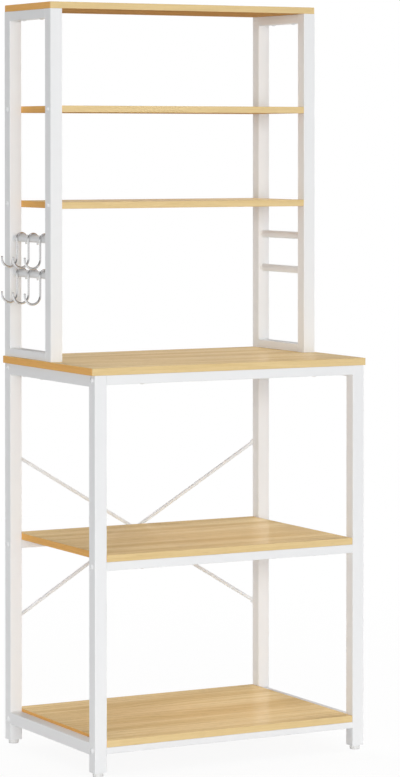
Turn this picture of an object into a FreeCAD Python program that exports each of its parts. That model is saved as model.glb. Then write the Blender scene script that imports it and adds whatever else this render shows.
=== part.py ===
import FreeCAD, Part
import math
import os

# Kitchen rack: white square-tube side frames, bolted rails, six wooden tiers, S-hooks and screw feet.
# Millimetres, +Z up. Everything is drawn about the middle of the lower frame at floor level, and each
# solid is shifted as it is saved, so that the origin lies under the middle of the whole rack.

Vector = FreeCAD.Vector

# Overall sizes
frame_width = 590.0
frame_depth = 400.0
hutch_depth = 210.0

# Tiers: the lowest board's top, then the clear height above each board
bottom_shelf_top = 68.5
bottom_clear_height = 336.5
middle_clear_height = 338.5
counter_clear_height = 295.0
lower_shelf_clear_height = 173.5
upper_shelf_clear_height = 187.0

# Boards
shelf_thickness = 13.0
counter_thickness = 14.0
counter_overhang = 5.0
shelf_end_gap = 0.5
open_corner_radius = 3.0
butted_corner_radius = 1.0
board_edge_radius = 0.8

# Steel tube
tube_size = 25.0
tube_wall = 1.2
tube_corner_radius = 1.0
lower_top_bar_height = 22.0
lower_bottom_bar_height = 22.5
bottom_bar_below_shelf_top = 5.5
hutch_top_bar_height = 18.0
hutch_bottom_bar_height = 16.0
counter_rail_height = 18.0
middle_rail_height = 16.5
bottom_rail_height = 12.0

# Round hook bars of the hutch
hook_bar_diameter = 14.5
hook_bar_wall = 1.2
upper_hook_bar_drop = 60.5
hook_bar_spacing = 69.5

# S-hooks
hook_wire_diameter = 4.5
hook_clearance = 0.3
hook_spacing = 52.5
hook_short_end = 12.0
hook_shank_drop = 39.5
hook_mouth_radius = 16.5
hook_tip_rise = 5.0
hook_end_rounding = 1.4

# Brace rods
brace_diameter = 7.0
brace_rise_above_bottom_shelf = 168.5
brace_drop_below_counter = 178.5
brace_tab_width = 13.0
brace_tab_thickness = 3.0
brace_tab_reach = 16.0
brace_rod_start = 9.0
brace_face_gap = 0.2
brace_crossing_gap = 0.4
brace_bend_radius = 400.0

# Feet
foot_height = 8.0
foot_diameter = 20.0
foot_edge_radius = 1.5
foot_stem_diameter = 8.0
foot_stem_length = 24.0
foot_stem_clearance = 0.3
foot_insert_height = 20.0

# Rail bolts and hutch bolts
bolt_diameter = 6.0
bolt_head_diameter = 11.0
bolt_head_height = 3.2
bolt_socket_across_flats = 4.0
hutch_bolt_spacing = 80.0
rail_plug_length = 10.0
bolt_tip_past_thread = 2.0

# Shelf bolts and brace screws
shelf_bolt_diameter = 5.0
shelf_bolt_head_diameter = 9.5
shelf_bolt_head_height = 2.8
shelf_bolt_socket_across_flats = 3.0
shelf_insert_diameter = 8.0
shelf_insert_length = 20.0

# Wood screws up into the boards
wood_screw_diameter = 4.0
wood_screw_head_diameter = 10.0
wood_screw_head_height = 2.4
wood_screw_socket_across_flats = 2.5
wood_screw_spacing = 378.0
wood_left_above_screw = 4.0

# Nuts and clearances
weld_nut_diameter = 11.0
weld_nut_height = 6.0
head_rim = 0.8
hole_clearance = 0.3
thread_clearance = 0.1
plug_clearance = 0.1
pilot_extra_depth = 0.5

# Levels worked out from the tiers
bottom_shelf_underside = bottom_shelf_top - shelf_thickness
middle_shelf_underside = bottom_shelf_top + bottom_clear_height
middle_shelf_top = middle_shelf_underside + shelf_thickness
counter_underside = middle_shelf_top + middle_clear_height
counter_top = counter_underside + counter_thickness
lower_shelf_underside = counter_top + counter_clear_height
lower_shelf_top = lower_shelf_underside + shelf_thickness
upper_shelf_underside = lower_shelf_top + lower_shelf_clear_height
upper_shelf_top = upper_shelf_underside + shelf_thickness
top_board_underside = upper_shelf_top + upper_shelf_clear_height
upper_hook_bar_level = lower_shelf_underside - upper_hook_bar_drop
lower_hook_bar_level = upper_hook_bar_level - hook_bar_spacing
brace_low = bottom_shelf_top + brace_rise_above_bottom_shelf
brace_high = counter_underside - brace_drop_below_counter

# Places worked out from the frame
half_tube = tube_size / 2
outer_x = frame_width / 2
inner_x = outer_x - tube_size
post_x = outer_x - half_tube
rear_y = frame_depth / 2
front_y = -rear_y
hutch_front_y = rear_y - hutch_depth
hutch_middle_y = (hutch_front_y + rear_y) / 2
SIDES = {"left": -1, "right": 1}
LOWER_POST_Y = {"front": front_y + half_tube, "rear": rear_y - half_tube}
HUTCH_POST_Y = {"front": hutch_front_y + half_tube, "rear": rear_y - half_tube}

# The whole rack reaches from the hook tips to the counter's right end, and from the front to the braces
hook_loop_radius = hook_bar_diameter / 2 + hook_clearance + hook_wire_diameter / 2
brace_axis_y = rear_y + brace_face_gap + brace_diameter / 2
brace_bow = brace_diameter + brace_crossing_gap
rack_left = -post_x - hook_loop_radius - 2 * hook_mouth_radius - hook_wire_diameter / 2
rack_right = outer_x + counter_overhang
rack_rear = brace_axis_y + brace_bow + brace_diameter / 2
origin_shift = Vector(-(rack_left + rack_right) / 2, -(front_y + rack_rear) / 2, 0)

ALONG_X, ALONG_Y, ALONG_Z = Vector(1, 0, 0), Vector(0, 1, 0), Vector(0, 0, 1)
UP, DOWN = Vector(0, 0, 1), Vector(0, 0, -1)
TO_REAR, TO_FRONT = Vector(0, 1, 0), Vector(0, -1, 0)
level_tolerance = 1e-6


def save(name, *solids):
    """Write one node: its solids, moved so that the origin is under the middle of the rack."""
    placed = []
    for solid in solids:
        moved = solid.copy()
        moved.translate(origin_shift)
        placed.append(moved)
    shape = placed[0] if len(placed) == 1 else Part.makeCompound(placed)
    shape.exportStep(f"parts/{name}.step")


def rounded_bar(low, high, axis, radius):
    """A block between two corners whose four edges along an axis are rounded."""
    block = Part.makeBox(high.x - low.x, high.y - low.y, high.z - low.z, low)
    long_edges = []
    for edge in block.Edges:
        run = edge.Vertexes[1].Point.sub(edge.Vertexes[0].Point)
        if abs(run.dot(axis)) > level_tolerance:
            long_edges.append(edge)
    return block.makeFillet(radius, long_edges)


def square_tube(low, high, axis):
    """A hollow tube along an axis, with rounded corners inside and out and open ends."""
    inset = Vector(tube_wall, tube_wall, tube_wall) - axis * tube_wall
    outer = rounded_bar(low, high, axis, tube_corner_radius)
    inner_radius = max(tube_corner_radius - tube_wall, tube_wall / 4)
    return outer.cut(rounded_bar(low.add(inset), high.sub(inset), axis, inner_radius))


def rod(start, axis, diameter, length):
    """A round bar from a point along an axis, to keep or to drill with."""
    return Part.makeCylinder(diameter / 2, length, start, axis)


def drilled(solid, drills):
    """A solid with every drill of a list taken out of it."""
    return solid.cut(Part.makeCompound(drills)) if drills else solid


def turned(points, arc_start, arc_middle):
    """Turn a half profile of (radius, height) points about Z, with an arc from one point to the next."""
    path = [Vector(radius, 0, height) for radius, height in points]
    edges = []
    for i, start in enumerate(path):
        end = path[(i + 1) % len(path)]
        if i == arc_start:
            edges.append(Part.Arc(start, Vector(arc_middle[0], 0, arc_middle[1]), end).toShape())
        else:
            edges.append(Part.LineSegment(start, end).toShape())
    return Part.Face(Part.Wire(edges)).revolve(Vector(0, 0, 0), UP, 360)


def pointed(solid, seat, direction):
    """A solid drawn along Z, with its own up turned to a direction and its zero put at a seat."""
    placed = solid.copy()
    placed.Placement = FreeCAD.Placement(seat, FreeCAD.Rotation(UP, direction))
    return placed


def domed_bolt(diameter, length, head_diameter, head_height, across_flats):
    """A bolt along Z: the head's seat at zero, the shank below it, a domed head with a hexagon socket."""
    shank, head = diameter / 2, head_diameter / 2
    cap = head_height - head_rim
    dome = (cap * cap + head * head) / (2 * cap)
    half_turn = math.asin(head / dome) / 2
    dome_middle = (dome * math.sin(half_turn), head_height - dome + dome * math.cos(half_turn))
    profile = [(0, -length), (shank, -length), (shank, 0), (head, 0), (head, head_rim), (0, head_height)]
    bolt = turned(profile, 4, dome_middle)
    corners = []
    for i in range(7):
        turn = math.radians(60 * i)
        corners.append(Vector(math.cos(turn), math.sin(turn), 0) * (across_flats / math.sqrt(3)))
    socket = Part.Face(Part.makePolygon(corners)).extrude(UP * head_height)
    socket.translate(UP * head_rim)
    return bolt.cut(socket)


def frame_bolt(length):
    """The bolt that holds the rails and the hutch."""
    return domed_bolt(bolt_diameter, length, bolt_head_diameter, bolt_head_height, bolt_socket_across_flats)


def small_bolt(length):
    """The smaller bolt that holds the hutch shelves and the braces."""
    head = (shelf_bolt_head_diameter, shelf_bolt_head_height, shelf_bolt_socket_across_flats)
    return domed_bolt(shelf_bolt_diameter, length, *head)


def wood_screw(length):
    """The screw that holds a board from below."""
    head = (wood_screw_head_diameter, wood_screw_head_height, wood_screw_socket_across_flats)
    return domed_bolt(wood_screw_diameter, length, *head)


def ring(outer_diameter, bore_diameter, height):
    """A round nut or insert with a through bore, standing on zero."""
    body = Part.makeCylinder(outer_diameter / 2, height)
    return body.cut(Part.makeCylinder(bore_diameter / 2, height))


os.makedirs("parts", exist_ok=True)
bolt_hole = bolt_diameter + 2 * hole_clearance
bolt_thread = bolt_diameter + 2 * thread_clearance
shelf_bolt_hole = shelf_bolt_diameter + 2 * hole_clearance
shelf_thread = shelf_bolt_diameter + 2 * thread_clearance
screw_hole = wood_screw_diameter + 2 * hole_clearance
pilot_hole = wood_screw_diameter + 2 * thread_clearance
insert_hole = shelf_insert_diameter + 2 * thread_clearance
RAILS = {
    "counter": (counter_underside - counter_rail_height, counter_underside),
    "middle": (middle_shelf_underside - middle_rail_height, middle_shelf_underside),
    "bottom": (bottom_shelf_underside - bottom_rail_height, bottom_shelf_underside),
}
HUTCH_SHELVES = {"lower_shelf": lower_shelf_underside, "upper_shelf": upper_shelf_underside}
HUTCH_FIXING_Y = [hutch_middle_y - hutch_bolt_spacing / 2, hutch_middle_y + hutch_bolt_spacing / 2]
HUTCH_FIXINGS = [(side * post_x, y) for side in SIDES.values() for y in HUTCH_FIXING_Y]
RAIL_SCREW_X = [-wood_screw_spacing / 2, wood_screw_spacing / 2]
RAIL_SCREWS = [(x, y) for x in RAIL_SCREW_X for y in LOWER_POST_Y.values()]


def post(side, y, low, high, bolt_levels, hole):
    """An upright tube with a bolt hole across it at each level."""
    x = side * post_x
    corner = Vector(half_tube, half_tube, 0)
    tube = square_tube(Vector(x, y, low).sub(corner), Vector(x, y, high).add(corner), ALONG_Z)
    return drilled(tube, [rod(Vector(x - half_tube, y, z), ALONG_X, hole, tube_size) for z in bolt_levels])


# Lower posts, the rear ones also drilled in their backs for the brace screws
rail_bolt_levels = [(low + high) / 2 for low, high in RAILS.values()]
for side_name, side in SIDES.items():
    for place, y in LOWER_POST_Y.items():
        upright = post(side, y, foot_height, counter_underside, rail_bolt_levels, bolt_hole)
        if place == "rear":
            backs = [Vector(side * post_x, y, level) for level in (brace_low, brace_high)]
            upright = drilled(upright, [rod(back, TO_REAR, shelf_bolt_hole, half_tube) for back in backs])
        save(f"lower_{side_name}_{place}_post", upright)

# Hutch posts
shelf_bolt_levels = [underside + shelf_thickness / 2 for underside in HUTCH_SHELVES.values()]
for side_name, side in SIDES.items():
    for place, y in HUTCH_POST_Y.items():
        upright = post(side, y, counter_top, top_board_underside, shelf_bolt_levels, shelf_bolt_hole)
        save(f"hutch_{side_name}_{place}_post", upright)


def side_bar(side, front, low, high, drills):
    """A tube from a front post to a rear post, less the drills that pass through it."""
    x = side * post_x
    near = Vector(x - half_tube, front + tube_size, low)
    far = Vector(x + half_tube, rear_y - tube_size, high)
    return drilled(square_tube(near, far, ALONG_Y), drills)


# Side bars of the lower frames and of the hutch frames
top_bar_low = counter_underside - lower_top_bar_height
bottom_bar_top = bottom_shelf_top - bottom_bar_below_shelf_top
bottom_bar_low = bottom_bar_top - lower_bottom_bar_height
hutch_top_bar_low = top_board_underside - hutch_top_bar_height
hutch_bottom_bar_top = counter_top + hutch_bottom_bar_height
for side_name, side in SIDES.items():
    x = side * post_x
    through = [rod(Vector(x, y, top_bar_low), UP, bolt_hole, lower_top_bar_height) for y in HUTCH_FIXING_Y]
    into = [rod(Vector(x, y, counter_top), UP, bolt_hole, half_tube / 2) for y in HUTCH_FIXING_Y]
    up = [rod(Vector(x, y, hutch_top_bar_low), UP, screw_hole, hutch_top_bar_height) for y in HUTCH_FIXING_Y]
    save(f"lower_{side_name}_top_bar", side_bar(side, front_y, top_bar_low, counter_underside, through))
    save(f"lower_{side_name}_bottom_bar", side_bar(side, front_y, bottom_bar_low, bottom_bar_top, []))
    hutch_top = side_bar(side, hutch_front_y, hutch_top_bar_low, top_board_underside, up)
    hutch_bottom = side_bar(side, hutch_front_y, counter_top, hutch_bottom_bar_top, into)
    save(f"hutch_{side_name}_top_bar", hutch_top)
    save(f"hutch_{side_name}_bottom_bar", hutch_bottom)

# Round hook bars between the hutch posts
HOOK_BAR_LEVELS = {"upper": upper_hook_bar_level, "lower": lower_hook_bar_level}
hook_bar_length = hutch_depth - 2 * tube_size
hook_bar_bore = hook_bar_diameter - 2 * hook_bar_wall
for side_name, side in SIDES.items():
    for row, level in HOOK_BAR_LEVELS.items():
        start = Vector(side * post_x, hutch_front_y + tube_size, level)
        bar = rod(start, ALONG_Y, hook_bar_diameter, hook_bar_length)
        bore = rod(start, ALONG_Y, hook_bar_bore, hook_bar_length)
        save(f"hutch_{side_name}_{row}_hook_bar", bar.cut(bore))

# Rails, drilled upright for the screws that hold the board on them
for tier, (low, high) in RAILS.items():
    for place, y in LOWER_POST_Y.items():
        near, far = Vector(-inner_x, y - half_tube, low), Vector(inner_x, y + half_tube, high)
        rail = square_tube(near, far, ALONG_X)
        drills = [rod(Vector(x, y, low), UP, screw_hole, high - low) for x in RAIL_SCREW_X]
        save(f"{tier}_{place}_rail", drilled(rail, drills))


def board(half_width, front, underside, thickness, corner_radius):
    """A board that reaches back to the rear, with rounded corners and broken edges on both faces."""
    near = Vector(-half_width, front, underside)
    far = Vector(half_width, rear_y, underside + thickness)
    blank = rounded_bar(near, far, ALONG_Z, corner_radius)
    rims = [edge for edge in blank.Edges if edge.BoundBox.ZLength < level_tolerance]
    return blank.makeFillet(board_edge_radius, rims)


def pilots(underside, thickness, places):
    """Blind holes up into a board from its underside, for its screws."""
    depth = thickness - wood_left_above_screw + pilot_extra_depth
    return [rod(Vector(x, y, underside), UP, pilot_hole, depth) for x, y in places]


# Counter, with holes right through for the hutch bolts
counter = board(outer_x + counter_overhang, front_y, counter_underside, counter_thickness, open_corner_radius)
through = [rod(Vector(x, y, counter_underside), UP, bolt_hole, counter_thickness) for x, y in HUTCH_FIXINGS]
save("counter_board", drilled(counter, through + pilots(counter_underside, counter_thickness, RAIL_SCREWS)))

# Middle and bottom shelves between the lower posts
for name, underside in (("middle_shelf", middle_shelf_underside), ("bottom_shelf", bottom_shelf_underside)):
    plank = board(inner_x - shelf_end_gap, front_y, underside, shelf_thickness, butted_corner_radius)
    save(name, drilled(plank, pilots(underside, shelf_thickness, RAIL_SCREWS)))

# Top board on the hutch posts
top = board(outer_x, hutch_front_y, top_board_underside, shelf_thickness, open_corner_radius)
save("top_board", drilled(top, pilots(top_board_underside, shelf_thickness, HUTCH_FIXINGS)))

# Hutch shelves, with sockets in their ends for the threaded inserts
for name, underside in HUTCH_SHELVES.items():
    plank = board(inner_x, hutch_front_y, underside, shelf_thickness, butted_corner_radius)
    sockets = []
    for side in SIDES.values():
        for y in HUTCH_POST_Y.values():
            mouth = Vector(side * inner_x, y, underside + shelf_thickness / 2)
            depth = shelf_insert_length + pilot_extra_depth
            sockets.append(rod(mouth, ALONG_X * -side, insert_hole, depth))
    save(name, drilled(plank, sockets))


def hook(y, bar_level):
    """An S-hook on a left bar: short end inside, loop over the bar, shank outside, mouth opening outwards."""
    loop_center = Vector(-post_x, y, bar_level)
    inner_top = loop_center.add(ALONG_X * hook_loop_radius)
    inner_end = inner_top.add(DOWN * hook_short_end)
    shank_top = loop_center.sub(ALONG_X * hook_loop_radius)
    shank_foot = shank_top.add(DOWN * hook_shank_drop)
    mouth_center = shank_foot.sub(ALONG_X * hook_mouth_radius)
    tip_foot = shank_foot.sub(ALONG_X * (2 * hook_mouth_radius))
    tip = tip_foot.add(UP * hook_tip_rise)
    path = Part.Wire([
        Part.LineSegment(inner_end, inner_top).toShape(),
        Part.Arc(inner_top, loop_center.add(UP * hook_loop_radius), shank_top).toShape(),
        Part.LineSegment(shank_top, shank_foot).toShape(),
        Part.Arc(shank_foot, mouth_center.add(DOWN * hook_mouth_radius), tip_foot).toShape(),
        Part.LineSegment(tip_foot, tip).toShape(),
    ])
    section = Part.Wire(Part.makeCircle(hook_wire_diameter / 2, inner_end, UP))
    wire = path.makePipeShell([section], True, False)
    ends = []
    for edge in wire.Edges:
        box = edge.BoundBox
        at_an_end = min(abs(box.ZMin - inner_end.z), abs(box.ZMin - tip.z)) < level_tolerance
        if at_an_end and box.ZLength < level_tolerance:
            ends.append(edge)
    return wire.makeFillet(hook_end_rounding, ends)


# S-hooks, three on each of the two left bars
HOOK_PLACES = {"front": -hook_spacing, "middle": 0, "rear": hook_spacing}
for row, level in HOOK_BAR_LEVELS.items():
    for place, offset in HOOK_PLACES.items():
        save(f"{row}_{place}_hook", hook(hutch_middle_y + offset, level))


def bowed_rod(first, last, bow):
    """A round rod between two points whose middle is bent back by a bow."""
    peak = first.add(last).multiply(0.5).add(TO_REAR * bow)
    rise = peak.sub(first).normalize()
    fall = last.sub(peak).normalize()
    half_bend = rise.getAngle(fall) / 2
    tangent = brace_bend_radius * math.tan(half_bend)
    sagitta = brace_bend_radius * (1 / math.cos(half_bend) - 1)
    before, after = peak.sub(rise * tangent), peak.add(fall * tangent)
    path = Part.Wire([
        Part.LineSegment(first, before).toShape(),
        Part.Arc(before, peak.add(TO_FRONT * sagitta), after).toShape(),
        Part.LineSegment(after, last).toShape(),
    ])
    section = Part.Wire(Part.makeCircle(brace_diameter / 2, first, rise))
    return path.makePipeShell([section], True, False)


def brace(left_level, right_level, bow):
    """A rod behind the rear posts with a drilled flat tab at each end."""
    left_eye = Vector(-post_x, rear_y, left_level)
    right_eye = Vector(post_x, rear_y, right_level)
    along = right_eye.sub(left_eye).normalize()
    half_width = TO_REAR.cross(along) * (brace_tab_width / 2)
    to_axis = TO_REAR * (brace_axis_y - rear_y)
    first = left_eye.add(along * brace_rod_start).add(to_axis)
    last = right_eye.sub(along * brace_rod_start).add(to_axis)
    bar = bowed_rod(first, last, bow) if bow else rod(first, along, brace_diameter, last.sub(first).Length)
    for eye, inward in ((left_eye, along), (right_eye, along * -1)):
        root = eye.add(inward * brace_tab_reach)
        corners = [eye.add(half_width), root.add(half_width), root.sub(half_width), eye.sub(half_width)]
        flat = Part.Face(Part.makePolygon(corners + corners[:1])).extrude(TO_REAR * brace_tab_thickness)
        nose = rod(eye, TO_REAR, brace_tab_width, brace_tab_thickness)
        hole = rod(eye, TO_REAR, shelf_bolt_hole, brace_tab_thickness)
        bar = bar.fuse([flat, nose]).removeSplitter().cut(hole)
    return bar


# Braces: the rising rod bows behind the falling one where they cross
save("falling_brace", brace(brace_high, brace_low, 0))
save("rising_brace", brace(brace_low, brace_high, brace_bow))

# Screw feet, drawn with the pad's top at zero, under the lower ends of the posts
stem, pad = foot_stem_diameter / 2, foot_diameter / 2
edge_cut = foot_edge_radius * (1 - math.sqrt(0.5))
foot_profile = [
    (0, -foot_height),
    (pad - foot_edge_radius, -foot_height),
    (pad, foot_edge_radius - foot_height),
    (pad, 0),
    (stem, 0),
    (stem, foot_stem_length),
    (0, foot_stem_length),
]
foot = turned(foot_profile, 1, (pad - edge_cut, edge_cut - foot_height))
insert_half = half_tube - tube_wall - plug_clearance
stem_hole = foot_stem_diameter + 2 * foot_stem_clearance
inserts = []
for side_name, side in SIDES.items():
    for place, y in LOWER_POST_Y.items():
        seat = Vector(side * post_x, y, foot_height)
        corner = Vector(insert_half, insert_half, 0)
        plug_top = seat.add(UP * foot_insert_height)
        plug = rounded_bar(seat.sub(corner), plug_top.add(corner), ALONG_Z, tube_corner_radius)
        inserts.append(plug.cut(rod(seat, UP, stem_hole, foot_insert_height)))
        save(f"foot_{side_name}_{place}", pointed(foot, seat, UP))
save("foot_inserts", *inserts)

# Rail bolts through the lower posts, and the threaded plugs in the rail ends
rail_bolt = frame_bolt(tube_size + rail_plug_length + bolt_tip_past_thread)
plug_inset = tube_wall + plug_clearance
rail_bolts, rail_plugs = [], []
for low, high in RAILS.values():
    middle = (low + high) / 2
    half_plug = Vector(rail_plug_length / 2, half_tube - plug_inset, (high - low) / 2 - plug_inset)
    for side in SIDES.values():
        for y in LOWER_POST_Y.values():
            rail_bolts.append(pointed(rail_bolt, Vector(side * outer_x, y, middle), ALONG_X * side))
            center = Vector(side * (inner_x - rail_plug_length / 2), y, middle)
            plug = rounded_bar(center.sub(half_plug), center.add(half_plug), ALONG_X, tube_wall)
            bore_start = center.sub(ALONG_X * (rail_plug_length / 2))
            rail_plugs.append(plug.cut(rod(bore_start, ALONG_X, bolt_thread, rail_plug_length)))
save("rail_bolts", *rail_bolts)
save("rail_end_plugs", *rail_plugs)

# Hutch shelf bolts and the threaded inserts in the shelf ends
shelf_bolt = small_bolt(tube_size + shelf_insert_length - bolt_tip_past_thread)
shelf_insert = ring(shelf_insert_diameter, shelf_thread, shelf_insert_length)
shelf_bolts, shelf_inserts = [], []
for level in shelf_bolt_levels:
    for side in SIDES.values():
        for y in HUTCH_POST_Y.values():
            shelf_bolts.append(pointed(shelf_bolt, Vector(side * outer_x, y, level), ALONG_X * side))
            shelf_inserts.append(pointed(shelf_insert, Vector(side * inner_x, y, level), ALONG_X * -side))
save("shelf_bolts", *shelf_bolts)
save("shelf_inserts", *shelf_inserts)

# Bolts that hold the hutch down through the counter, and the nuts welded inside its bottom bars
hutch_bolt = frame_bolt(lower_top_bar_height + counter_thickness + tube_wall + weld_nut_height)
hutch_nut = ring(weld_nut_diameter, bolt_thread, weld_nut_height)
nut_level = counter_top + tube_wall
save("hutch_bolts", *[pointed(hutch_bolt, Vector(x, y, top_bar_low), DOWN) for x, y in HUTCH_FIXINGS])
save("hutch_weld_nuts", *[pointed(hutch_nut, Vector(x, y, nut_level), UP) for x, y in HUTCH_FIXINGS])

# Screws up into the boards, through the hutch top bars and through the rails
shelf_grip = shelf_thickness - wood_left_above_screw
top_screw = wood_screw(hutch_top_bar_height + shelf_grip)
counter_screw = wood_screw(counter_rail_height + counter_thickness - wood_left_above_screw)
middle_screw = wood_screw(middle_rail_height + shelf_grip)
bottom_screw = wood_screw(bottom_rail_height + shelf_grip)
top_screws = [pointed(top_screw, Vector(x, y, hutch_top_bar_low), DOWN) for x, y in HUTCH_FIXINGS]
save("top_board_screws", *top_screws)
RAIL_SCREW_KINDS = {
    "counter_screws": (counter_screw, RAILS["counter"][0]),
    "middle_shelf_screws": (middle_screw, RAILS["middle"][0]),
    "bottom_shelf_screws": (bottom_screw, RAILS["bottom"][0]),
}
for name, (screw, low) in RAIL_SCREW_KINDS.items():
    save(name, *[pointed(screw, Vector(x, y, low), DOWN) for x, y in RAIL_SCREWS])

# Brace screws into nuts welded inside the backs of the rear posts
brace_screw = small_bolt(brace_tab_thickness + tube_wall + weld_nut_height)
brace_nut = ring(weld_nut_diameter, shelf_thread, weld_nut_height)
brace_screws, brace_nuts = [], []
for side in SIDES.values():
    for level in (brace_low, brace_high):
        eye = Vector(side * post_x, rear_y, level)
        brace_screws.append(pointed(brace_screw, eye.add(TO_REAR * brace_tab_thickness), TO_REAR))
        brace_nuts.append(pointed(brace_nut, eye.add(TO_FRONT * tube_wall), TO_FRONT))
save("brace_screws", *brace_screws)
save("brace_weld_nuts", *brace_nuts)
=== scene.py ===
from math import cos, pi, radians, sin

import bpy
import numpy as np
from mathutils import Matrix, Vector


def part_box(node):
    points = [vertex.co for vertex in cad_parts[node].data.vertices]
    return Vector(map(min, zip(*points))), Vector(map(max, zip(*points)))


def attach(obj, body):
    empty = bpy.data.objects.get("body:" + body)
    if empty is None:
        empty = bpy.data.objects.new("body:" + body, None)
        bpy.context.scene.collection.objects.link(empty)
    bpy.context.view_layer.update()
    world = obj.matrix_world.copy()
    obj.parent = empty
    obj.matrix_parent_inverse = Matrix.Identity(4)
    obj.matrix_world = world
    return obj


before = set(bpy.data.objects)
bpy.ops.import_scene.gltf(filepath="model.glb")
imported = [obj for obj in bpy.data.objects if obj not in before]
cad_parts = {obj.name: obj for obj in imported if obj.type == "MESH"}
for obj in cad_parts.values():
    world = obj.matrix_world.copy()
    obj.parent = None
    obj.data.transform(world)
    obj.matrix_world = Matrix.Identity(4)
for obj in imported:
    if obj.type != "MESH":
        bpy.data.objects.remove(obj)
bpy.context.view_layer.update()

scene = bpy.context.scene
scene.view_settings.view_transform = "Standard"


# Camera: a long lens stands front left, at about four fifths of the rack's height, and looks almost level.
# The film is shifted down, so the posts stay upright and the whole rack is in the frame.
tilt_down, turn_right = 1.1, 28.4583
camera_data = bpy.data.cameras.new("camera")
camera_data.sensor_width = 36.0
camera_data.lens = 143.4417
camera_data.shift_y = -0.24308
camera_data.clip_end = 400.0
camera_data.dof.use_dof = False
camera = bpy.data.objects.new("camera", camera_data)
camera.location = (-2.8672, -5.39174, 1.19803)
camera.rotation_euler = (radians(90.0 - tilt_down), 0.0, radians(-turn_right))
scene.collection.objects.link(camera)
scene.camera = camera


# Lower side frames: four posts and four bars of square steel tube, welded into two ladders.
# The welds are left as small rippled beads in the inner corners, under one coat of white powder.
class Socket:
    """An output of a node tree. Sums on it add Math nodes, and node() adds any other node."""

    def __init__(self, tree, output):
        self.tree, self.output = tree, output

    def node(self, kind, settings, sockets, out=0):
        """Adds a node, gives it its settings, then the values or links of its sockets."""
        made = self.tree.nodes.new(kind)
        for name, value in settings.items():
            setattr(made, name, value)
        for key, value in sockets.items():
            if isinstance(value, Socket):
                self.tree.links.new(value.output, made.inputs[key])
            else:
                made.inputs[key].default_value = value
        return Socket(self.tree, made.outputs[out])

    def into(self, shader, name):
        """Links this output to a shader's socket."""
        self.tree.links.new(self.output, shader.inputs[name])

    def math(self, operation, *others, clamp=False):
        """A Math node on this value and the others."""
        settings = {"operation": operation, "use_clamp": clamp}
        return self.node("ShaderNodeMath", settings, dict(enumerate((self, *others))))

    def __add__(self, other):
        return self.math("ADD", other)

    def __sub__(self, other):
        return self.math("SUBTRACT", other)

    def __rsub__(self, other):
        return (self * -1.0) + other

    def __mul__(self, other):
        return self.math("MULTIPLY", other)

    def __truediv__(self, other):
        return self.math("DIVIDE", other)

    def __pow__(self, other):
        return self.math("POWER", other)

    __radd__, __rmul__ = __add__, __mul__

    def clamped(self):
        """This value, kept between 0 and 1."""
        return self.math("ADD", 0.0, clamp=True)

    def size(self):
        """This value without its sign."""
        return self.math("ABSOLUTE")

    def part(self, axis):
        """One of the three numbers of a vector."""
        return self.node("ShaderNodeSeparateXYZ", {}, {0: self}, axis)

    def scaled(self, scale, offset=(0.0, 0.0, 0.0)):
        """A vector times scale, plus offset, number by number."""
        return self.node("ShaderNodeMapping", {}, {"Vector": self, "Scale": scale, "Location": offset})

    def noise(self, scale, detail=2.0, roughness=0.5):
        """Soft clouds of values from 0 to 1 at this place, about scale of them to a metre."""
        sockets = {"Vector": self, "Scale": scale, "Detail": detail, "Roughness": roughness}
        return self.node("ShaderNodeTexNoise", {}, sockets)

    def blend(self, low, high):
        """The colour low where this value is 0, and high where it is 1."""
        return self.node("ShaderNodeMix", {"data_type": "RGBA"}, {0: self, 6: low, 7: high}, 2)

    def bump(self, depth, strength):
        """A normal for a surface that this value lifts by up to depth, in metres."""
        return self.node("ShaderNodeBump", {}, {"Height": self, "Distance": depth, "Strength": strength})


def new_material(name, **fixed):
    """A material, its shader with the fixed values set, and its Object coordinates."""
    material = bpy.data.materials.new(name)
    material.use_nodes = True
    tree = material.node_tree
    shader = tree.nodes["Principled BSDF"]
    for key, value in fixed.items():
        shader.inputs[key.replace("_", " ")].default_value = value
    place = tree.nodes.new("ShaderNodeTexCoord").outputs["Object"]
    return material, shader, Socket(tree, place)


def paint(material, *nodes):
    """Puts a material on CAD nodes, in the slots that they already have."""
    for node in nodes:
        for material_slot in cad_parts[node].material_slots:
            material_slot.material = material


def powder_coat(name, rough, peel_depth, deep=(0.830, 0.838, 0.848, 1.0), pale=(0.860, 0.867, 0.876, 1.0)):
    """White powder, sprayed and baked.

    Two near whites lie in soft clouds. The roughness starts at rough and varies in patches, and the shallow
    orange peel is peel_depth deep.
    """
    material, shader, place = new_material(name, IOR=1.5)
    clouds = place.noise(9.0, 3.0)
    patches = place.noise(60.0, 2.0)
    peel = place.noise(620.0, 1.5)
    clouds.blend(deep, pale).into(shader, "Base Color")
    (rough + 0.10 * patches).into(shader, "Roughness")
    peel.bump(peel_depth, 0.35).into(shader, "Normal")
    return material


frame_peel_depth = 0.00012
white_paint = powder_coat("white_powder_coat", 0.30, frame_peel_depth)
lower_posts = [f"lower_{side}_{place}_post" for side in ("left", "right") for place in ("front", "rear")]
lower_bars = [f"lower_{side}_{level}_bar" for side in ("left", "right") for level in ("top", "bottom")]
paint(white_paint, *lower_posts, *lower_bars)

bead_leg, bead_pitch = 0.0021, 0.0021
corner_gap = 0.0022
bead_sink = 0.0004


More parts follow.
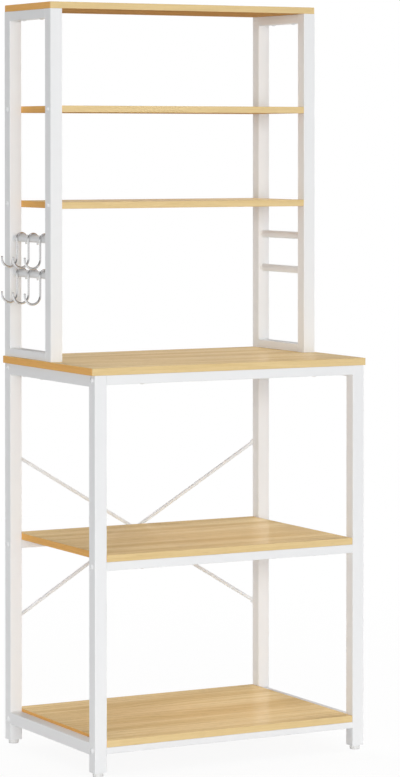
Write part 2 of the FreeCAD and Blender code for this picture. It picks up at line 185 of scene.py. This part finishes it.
def weld_bead(corner, up, out, leg, pitch, closed):
    """A bead as a quarter round carried along a corner line, as (points, faces).

    At each point of the line the round swings from up, along the post, to out, along the bar. Its radius is
    leg, give or take a ninth in every ripple of one pitch, and the ripples trail at both toes. At the ends of
    an open line the radius falls to a quarter. One more point of the loop is sunk into the corner.
    """
    corner = np.asarray(corner, float)
    up, out = (np.broadcast_to(np.asarray(v, float), corner.shape) for v in (up, out))
    step = np.linalg.norm(np.diff(corner, axis=0), axis=1)
    run = np.concatenate(([0.0], np.cumsum(step)))[:, None]
    length = run[-1, 0] + (step[0] if closed else 0.0)
    ripples = max(round(length / pitch), 3)
    swing = np.linspace(0.0, 1.0, 9)[None, :]
    trail = 0.55 * (2.0 * swing - 1.0) ** 2
    radius = leg * (1.0 + np.cos(2.0 * pi * (ripples * run / length - trail)) / 9.0)
    if not closed:
        along = 2.0 * run / length - 1.0
        radius = radius * (0.25 + 0.75 * np.sqrt(np.clip(1.0 - along ** 8, 0.0, 1.0)))
    angle = swing * pi / 2.0
    arc = (corner[:, None, :] + (radius * np.cos(angle))[..., None] * up[:, None, :]
           + (radius * np.sin(angle))[..., None] * out[:, None, :])
    sunk = corner[:, None, :] - bead_sink * (up + out)[:, None, :]
    loops = np.concatenate((sunk, arc), axis=1)
    rows, columns = loops.shape[:2]
    spot = np.arange(rows * columns).reshape(rows, columns)
    ahead, beside = np.roll(spot, -1, axis=0), np.roll(spot, -1, axis=1)
    both = np.roll(ahead, -1, axis=1)
    quads = np.stack((spot, ahead, both, beside), axis=-1)
    quads = (quads if closed else quads[:-1]).reshape(-1, 4)
    points = loops.reshape(-1, 3)
    a, b, c, d = (points[quads[:, k]] for k in range(4))
    turned = np.einsum("ij,ij->i", a, np.cross(b, c) + np.cross(c, d)).sum() < 0.0
    faces = (quads[:, ::-1] if turned else quads).tolist()
    if not closed:
        first, last = spot[0].tolist(), spot[-1].tolist()
        faces += [first[::-1], last] if turned else [first, last[::-1]]
    return points, faces


def welds(name, beads, body):
    """One painted piece made of many beads."""
    starts = np.cumsum([0] + [len(points) for points, _ in beads])
    points = np.concatenate([points for points, _ in beads])
    faces = [[start + k for k in face] for start, (_, some) in zip(starts, beads) for face in some]
    mesh = bpy.data.meshes.new(name)
    mesh.from_pydata(points.tolist(), [], faces)
    mesh.shade_smooth()
    mesh.materials.append(white_paint)
    piece = bpy.data.objects.new(name, mesh)
    scene.collection.objects.link(piece)
    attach(piece, body)


def bar_beads(bar, faces):
    """Straight beads across the top or the underside of a bar, at both of its ends.

    The corner line runs across the bar, and stops a little short of the bar's own rounded corners.
    """
    low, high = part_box(bar)
    across = np.linspace(low.x + corner_gap, high.x - corner_gap, 97)
    beads = []
    for face in faces:
        level, up = (high.z, 1.0) if face == "top" else (low.z, -1.0)
        for end, out in ((low.y, 1.0), (high.y, -1.0)):
            line = np.stack((across, np.full_like(across, end), np.full_like(across, level)), axis=-1)
            beads.append(weld_bead(line, (0.0, 0.0, up), (0.0, out, 0.0), bead_leg, bead_pitch, False))
    return beads


for side in ("left", "right"):
    beads = bar_beads(f"lower_{side}_top_bar", ["underside"])
    beads += bar_beads(f"lower_{side}_bottom_bar", ["top", "underside"])
    welds(f"lower_{side}_welds", beads, "rack")


# Rails: flat steel tubes between the side frames, front and rear, under three of the boards.
# They have the same powder coat, and a bolt through each post holds them.
tiers = ("counter", "middle", "bottom")
paint(white_paint, *[f"{tier}_{place}_rail" for tier in tiers for place in ("front", "rear")])


# Braces: two long thin rods that cross behind the middle shelf, one bowed out so that it passes the other.
# Their ends are flattened, and screwed to the backs of the rear posts. Their thin coat has almost no orange
# peel. Its white is painted a little cooler and darker than the frame's: painted shade, which offsets the
# warm light that the boards throw on them.
thin_peel_depth = 0.00001
# Cooler, darker whites for the braces: painted shade against the boards' warm bounce light.
shade_cooled_deep, shade_cooled_pale = (0.810, 0.842, 0.874, 1.0), (0.838, 0.870, 0.902, 1.0)
thin_shade_cooled_paint = powder_coat("thin_shade_cooled_white_powder_coat", 0.36, thin_peel_depth, shade_cooled_deep, shade_cooled_pale)
paint(thin_shade_cooled_paint, "falling_brace", "rising_brace")


# Hutch side frames: lighter ladders of the same tube that stand on the counter, with two round bars
# to hang things from on each side. Welded in the same way, with a ring of bead round each round bar.
hutch_posts = [f"hutch_{side}_{place}_post" for side in ("left", "right") for place in ("front", "rear")]
hutch_bars = [f"hutch_{side}_{level}_bar" for side in ("left", "right")
              for level in ("top", "bottom", "upper_hook", "lower_hook")]
paint(white_paint, *hutch_posts, *hutch_bars)

ring_leg = 0.0017


def ring_beads(bar):
    """Beads round both ends of a round bar: the corner line is the bar's own circle."""
    low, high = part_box(bar)
    middle, bar_radius = (low + high) / 2.0, (high.x - low.x) / 2.0
    turn = np.linspace(0.0, 2.0 * pi, 140, endpoint=False)
    spoke = np.stack((np.cos(turn), np.zeros_like(turn), np.sin(turn)), axis=-1)
    beads = []
    for end, out in ((low.y, 1.0), (high.y, -1.0)):
        circle = np.array((middle.x, end, middle.z)) + bar_radius * spoke
        beads.append(weld_bead(circle, spoke, (0.0, out, 0.0), ring_leg, bead_pitch, True))
    return beads


for side in ("left", "right"):
    beads = bar_beads(f"hutch_{side}_top_bar", ["underside"])
    beads += bar_beads(f"hutch_{side}_bottom_bar", ["top"])
    for level in ("upper", "lower"):
        beads += ring_beads(f"hutch_{side}_{level}_hook_bar")
    welds(f"hutch_{side}_welds", beads, "rack")


# Boards: six panels faced on both sides with a light oak print, and edged all round with a thin band.
# The grain runs along the rack on the faces, and along each band on the edges. The tops and edges have
# a satin lacquer, and the undersides are left bare. The undersides and the ends are coloured a darker,
# deeper oak than the tops and long edges, as painted shade.
oak_face = ((0.960, 0.752, 0.420, 1.0), (0.725, 0.498, 0.215, 1.0))
# The undersides carry the same print as the tops, coloured darker and deeper here: painted shade.
shaded_oak_underside = ((0.760, 0.455, 0.195, 1.0), (0.570, 0.305, 0.115, 1.0))
oak_edge = ((0.830, 0.645, 0.345, 1.0), (0.680, 0.480, 0.208, 1.0))
# The ends carry the same band as the long edges, coloured darker and more orange here: painted shade.
shaded_oak_end = ((0.940, 0.530, 0.165, 1.0), (0.780, 0.390, 0.108, 1.0))
dark_pore = (0.200, 0.105, 0.035, 1.0)
band_thickness, seam_width = 0.0010, 0.00018
skin_depth, skin_fade = 0.00026, 0.00004
grain_depth = 0.00008


def oak_board(name, shift):
    """Oak on one board.

    Growth lines are a saw-tooth of the distance across the grain, bent by slow noise drawn out along the
    grain. Fibres and pores are finer noise drawn out in the same way. Distances from the board's own box tell
    its faces, long edges and ends apart, and draw the hairline where the edge bands meet the faces.
    """
    material, shader, place = new_material(
        f"{name}_oak", Specular_IOR_Level=0.0, Coat_Roughness=0.18, Coat_IOR=1.5)
    low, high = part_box(name)
    middle, half = (low + high) / 2.0, (high - low) / 2.0
    local = place.node("ShaderNodeVectorMath", {"operation": "SUBTRACT"}, {0: place, 1: tuple(middle)})
    x, y, z = (local.part(axis) for axis in range(3))
    from_end, from_edge = half.x - x.size(), half.y - y.size()
    from_face = half.z - z.size()
    on_end = ((skin_depth - from_end) / skin_fade).clamped()
    on_face = ((skin_depth - from_face) / skin_fade).clamped()
    along = x + (y - x) * on_end
    across = y + (x - y) * on_end
    grain = local.node("ShaderNodeCombineXYZ", {}, {0: along, 1: across, 2: z})
    drift = grain.scaled((1.1, 8.0, 8.0), shift).noise(1.0, 2.0)
    late_wood = (62.0 * across + 40.0 * z + 7.0 * drift).math("FRACT") ** 3.0
    strips = grain.scaled((1.3, 26.0, 60.0), shift).noise(1.0, 3.0)
    fibres = grain.scaled((7.0, 360.0, 360.0), shift).noise(1.0, 3.0, 0.6)
    pores = ((grain.scaled((42.0, 1300.0, 1300.0), shift).noise(1.0, 1.0) - 0.60) * 9.0).clamped()
    tone = ((0.7 + 1.5 * on_face) * (strips - 0.5) + (0.16 + 0.26 * on_face) * late_wood
            + 0.9 * (fibres - 0.5) + 0.34).clamped()
    from_rim = from_end.math("MINIMUM", from_edge)
    seam = (1.0 - (from_rim - band_thickness).size() / seam_width).clamped()
    upper_half = (z / 0.0005).clamped()
    on_top = on_face * upper_half
    underneath = on_face - on_top
    # Undersides and ends take their painted-shade colours here, and the tops and long edges their own.
    light, dark = (on_end.blend(underneath.blend(on_top.blend(edge, face), underside_shade), end)
                   for edge, face, underside_shade, end in zip(oak_edge, oak_face, shaded_oak_underside, shaded_oak_end))
    wood = tone.blend(light, dark)
    marks = (0.15 + 0.30 * on_face) * pores + 0.55 * seam * on_face
    marks.clamped().blend(wood, dark_pore).into(shader, "Base Color")
    (0.36 + 0.16 * fibres + 0.40 * underneath).clamped().into(shader, "Roughness")
    lacquer = 0.45 - 0.07 * on_top - 0.45 * underneath - 0.30 * on_end - 0.08 * pores * on_top
    lacquer.clamped().into(shader, "Coat Weight")
    (0.6 * fibres - 0.5 * pores - 1.2 * seam * on_face).bump(grain_depth, 0.35).into(shader, "Normal")
    paint(material, name)


boards = ("bottom_shelf", "middle_shelf", "counter_board", "lower_shelf", "upper_shelf", "top_board")
for count, board in enumerate(boards):
    oak_board(board, (3.7 * count + 1.3, 11.9 * count, 5.1 * count))


# Hooks: six S-hooks bent from bright plated wire, three on each of the two left hook bars.
# The wire is drawn before it is bent and plated, so it has a slight streak and a hard, narrow shine.
def plated_wire():
    """Bright plate: a slow change of tone, and fine streaks drawn out down the hook."""
    material, shader, place = new_material("bright_plated_wire", Metallic=1.0)
    streaks = place.scaled((900.0, 900.0, 60.0)).noise(1.0, 2.0)
    tarnish = place.noise(45.0, 2.0)
    tarnish.blend((0.68, 0.68, 0.685, 1.0), (0.79, 0.79, 0.795, 1.0)).into(shader, "Base Color")
    (0.17 + 0.12 * streaks).into(shader, "Roughness")
    streak_depth = 0.00004
    streaks.bump(streak_depth, 0.3).into(shader, "Normal")
    return material


hooks = [f"{row}_{place}_hook" for row in ("upper", "lower") for place in ("front", "middle", "rear")]
paint(plated_wire(), *hooks)


# Feet: white nylon glides moulded on threaded stems, which screw into moulded plugs in the posts' lower ends.
# The glides level the rack, and are matt from the mould, a little scuffed where they meet the floor.
def white_nylon():
    """Moulded nylon: a faint warm cloud, a fine spark texture, and a greyer rim just above the floor."""
    material, shader, place = new_material("white_nylon", IOR=1.53)
    clouds = place.noise(80.0, 2.0)
    spark = place.noise(2200.0, 1.0)
    scuff_height, spark_depth = 0.002, 0.00005
    scuff = (1.0 - place.part(2) / scuff_height).clamped() * place.noise(400.0, 3.0)
    plain = clouds.blend((0.78, 0.78, 0.77, 1.0), (0.84, 0.84, 0.83, 1.0))
    (0.6 * scuff).blend(plain, (0.42, 0.41, 0.39, 1.0)).into(shader, "Base Color")
    (0.50 + 0.14 * spark).into(shader, "Roughness")
    spark.bump(spark_depth, 0.4).into(shader, "Normal")
    return material


feet = [f"foot_{side}_{place}" for side in ("left", "right") for place in ("front", "rear")]
paint(white_nylon(), *feet, "foot_inserts")


# Bolts and screws: domed bolts through the posts, coated white as these are, bolts up into the hutch frames,
# flat screws up into the boards and the braces' screws. All but the white ones are zinc plated, silvery and
# faintly mottled.
def zinc_plate(name, pale, deep, rough):
    """Zinc: two greys in small blotches, with a roughness that follows them."""
    material, shader, place = new_material(name, Metallic=1.0)
    blotches = place.noise(700.0, 3.0, 0.6)
    blotches.blend(deep, pale).into(shader, "Base Color")
    (rough + 0.16 * blotches).into(shader, "Roughness")
    pit_depth = 0.00003
    place.noise(2600.0, 1.0).bump(pit_depth, 0.4).into(shader, "Normal")
    return material


bright_zinc = zinc_plate("bright_zinc", (0.86, 0.86, 0.86, 1.0), (0.66, 0.67, 0.68, 1.0), 0.24)
paint(powder_coat("matt_white_powder_coat", 0.55, frame_peel_depth), "rail_bolts", "shelf_bolts")
paint(bright_zinc, "hutch_bolts", "brace_screws", "top_board_screws", "counter_screws", "middle_shelf_screws",
      "bottom_shelf_screws")


# Inside the tubes and boards: threaded plugs in the rails, inserts in the hutch shelves and weld nuts
# in the posts. Plain turned steel, which only the bolts touch.
plain_steel = zinc_plate("plain_steel", (0.56, 0.55, 0.53, 1.0), (0.40, 0.39, 0.38, 1.0), 0.36)
paint(plain_steel, "rail_end_plugs", "shelf_inserts", "hutch_weld_nuts", "brace_weld_nuts")


# Studio: a pale floor that runs out to the horizon, a sky that is a low white backdrop all round and grey
# above, and five broad soft lamps: low and high in front, low and high on the right, and one behind.
white, black = (1.0, 1.0, 1.0, 1.0), (0.0, 0.0, 0.0, 1.0)
seen_floor = (0.95, 0.95, 0.95, 1.0)
sky_grey = (0.24, 0.24, 0.24, 1.0)


def studio_floor():
    """A matt floor.

    It is pale grey for the light that it throws back, and darker further out. For what looks at it straight
    or by reflection it is almost white: mostly its own white near the rack, where the rest holds the shadow,
    and all of it far away.
    """
    material = bpy.data.materials.new("pale_floor")
    material.use_nodes = True
    tree = material.node_tree
    tree.nodes.clear()
    place = Socket(tree, tree.nodes.new("ShaderNodeTexCoord").outputs["Object"])
    path = tree.nodes.new("ShaderNodeLightPath")
    seen = [Socket(tree, path.outputs[f"Is {kind} Ray"]) for kind in ("Camera", "Glossy", "Transmission")]
    looked_at = (seen[0] + seen[1] + seen[2]).clamped()
    away = place.node("ShaderNodeVectorMath", {"operation": "LENGTH"}, {0: place}, 1)
    own_white = 0.93 + 0.07 * ((away - 1.2) / 2.5).clamped()
    grey = 0.76 - 0.30 * ((away - 0.6) / 1.4).clamped()
    shade = looked_at.blend(grey.blend(black, white), seen_floor)
    matt = place.node("ShaderNodeBsdfDiffuse", {}, {"Color": shade})
    glow = place.node("ShaderNodeEmission", {}, {"Color": white, "Strength": 1.0})
    mixed = place.node("ShaderNodeMixShader", {}, {0: looked_at * own_white, 1: matt, 2: glow})
    output = tree.nodes.new("ShaderNodeOutputMaterial")
    mixed.into(output, "Surface")
    return material


reach = 150.0
floor_corners = [(-reach, -reach, 0.0), (reach, -reach, 0.0), (reach, reach, 0.0), (-reach, reach, 0.0)]
floor_mesh = bpy.data.meshes.new("floor")
floor_mesh.from_pydata(floor_corners, [], [(0, 1, 2, 3)])
floor_mesh.materials.append(studio_floor())
floor = bpy.data.objects.new("floor", floor_mesh)
scene.collection.objects.link(floor)

sky = bpy.data.worlds.new("sky")
sky.use_nodes = True
sky_tree = sky.node_tree
ray = Socket(sky_tree, sky_tree.nodes.new("ShaderNodeTexCoord").outputs["Generated"])
backdrop_top, grey_from = sin(radians(3.8)), sin(radians(4.1))
above = ((ray.part(2) - backdrop_top) / (grey_from - backdrop_top)).clamped()
above.blend(white, sky_grey).into(sky_tree.nodes["Background"], "Color")
scene.world = sky

rack_middle = Vector((0.0, 0.0, 0.75))


def soft_lamp(name, azimuth, elevation, away, width, height, level, mirrored):
    """A broad soft lamp that looks at the rack's middle, and lights what faces it to that level.

    Its azimuth is counted from the front towards the right. The low lamps aren't mirrored, as behind a
    polarising sheet, so that the lacquered boards show no glare.
    """
    data = bpy.data.lights.new(name, "AREA")
    data.shape, data.size, data.size_y = "RECTANGLE", width, height
    data.energy = level * pi ** 2 * away ** 2
    turn, rise = radians(azimuth), radians(elevation)
    towards = Vector((sin(turn) * cos(rise), -cos(turn) * cos(rise), sin(rise)))
    lamp = bpy.data.objects.new(name, data)
    lamp.location = rack_middle + away * towards
    lamp.rotation_euler = towards.to_track_quat("Z", "Y").to_euler()
    lamp.visible_camera, lamp.visible_glossy = False, mirrored
    scene.collection.objects.link(lamp)


soft_lamp("front_lamp", azimuth=-27.0, elevation=5.0, away=9.0, width=9.0, height=2.8,
          level=0.69, mirrored=False)
soft_lamp("high_front_lamp", azimuth=-27.0, elevation=57.0, away=9.0, width=6.0, height=4.0,
          level=0.11, mirrored=True)
soft_lamp("right_lamp", azimuth=90.0, elevation=10.0, away=8.0, width=4.0, height=3.0,
          level=0.40, mirrored=False)
soft_lamp("high_right_lamp", azimuth=90.0, elevation=40.0, away=8.0, width=4.0, height=3.0,
          level=0.20, mirrored=True)
soft_lamp("back_lamp", azimuth=177.0, elevation=24.0, away=8.0, width=4.0, height=3.0,
          level=0.62, mirrored=False)
